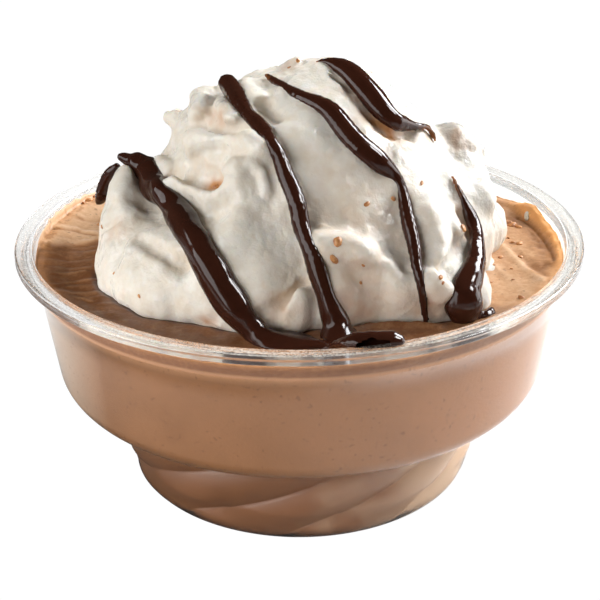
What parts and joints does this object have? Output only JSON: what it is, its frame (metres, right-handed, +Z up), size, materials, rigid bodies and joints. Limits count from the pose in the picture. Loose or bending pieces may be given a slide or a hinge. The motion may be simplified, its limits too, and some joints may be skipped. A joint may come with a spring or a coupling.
{
  "type": "pot de creme dessert",
  "caption": "Chocolate pot de creme in a clear footed cup with a twisted, fluted foot, topped with a rough mound of whipped cream and dark sauce drizzles.",
  "frame": {"origin": "centre of the foot's base, on the table", "axes": "+Z up through the cup; -Y is the side seen in the picture, where the drizzles run down; +X to that view's right"},
  "size_m": [0.1, 0.1, 0.0758],
  "materials": {
    "clear_plastic": "clear moulded plastic, glossy",
    "set_creme": "set milk chocolate creme, satin, stands in as matte plastic",
    "whipped_cream": "soft off-white whipped cream, stands in as matte plastic",
    "sauce": "thick dark chocolate sauce, wet gloss"
  },
  "bodies": {
    "root": {"cup": "clear_plastic", "creme": "set_creme", "whipped_cream": "whipped_cream"}
  },
  "joints": []
}
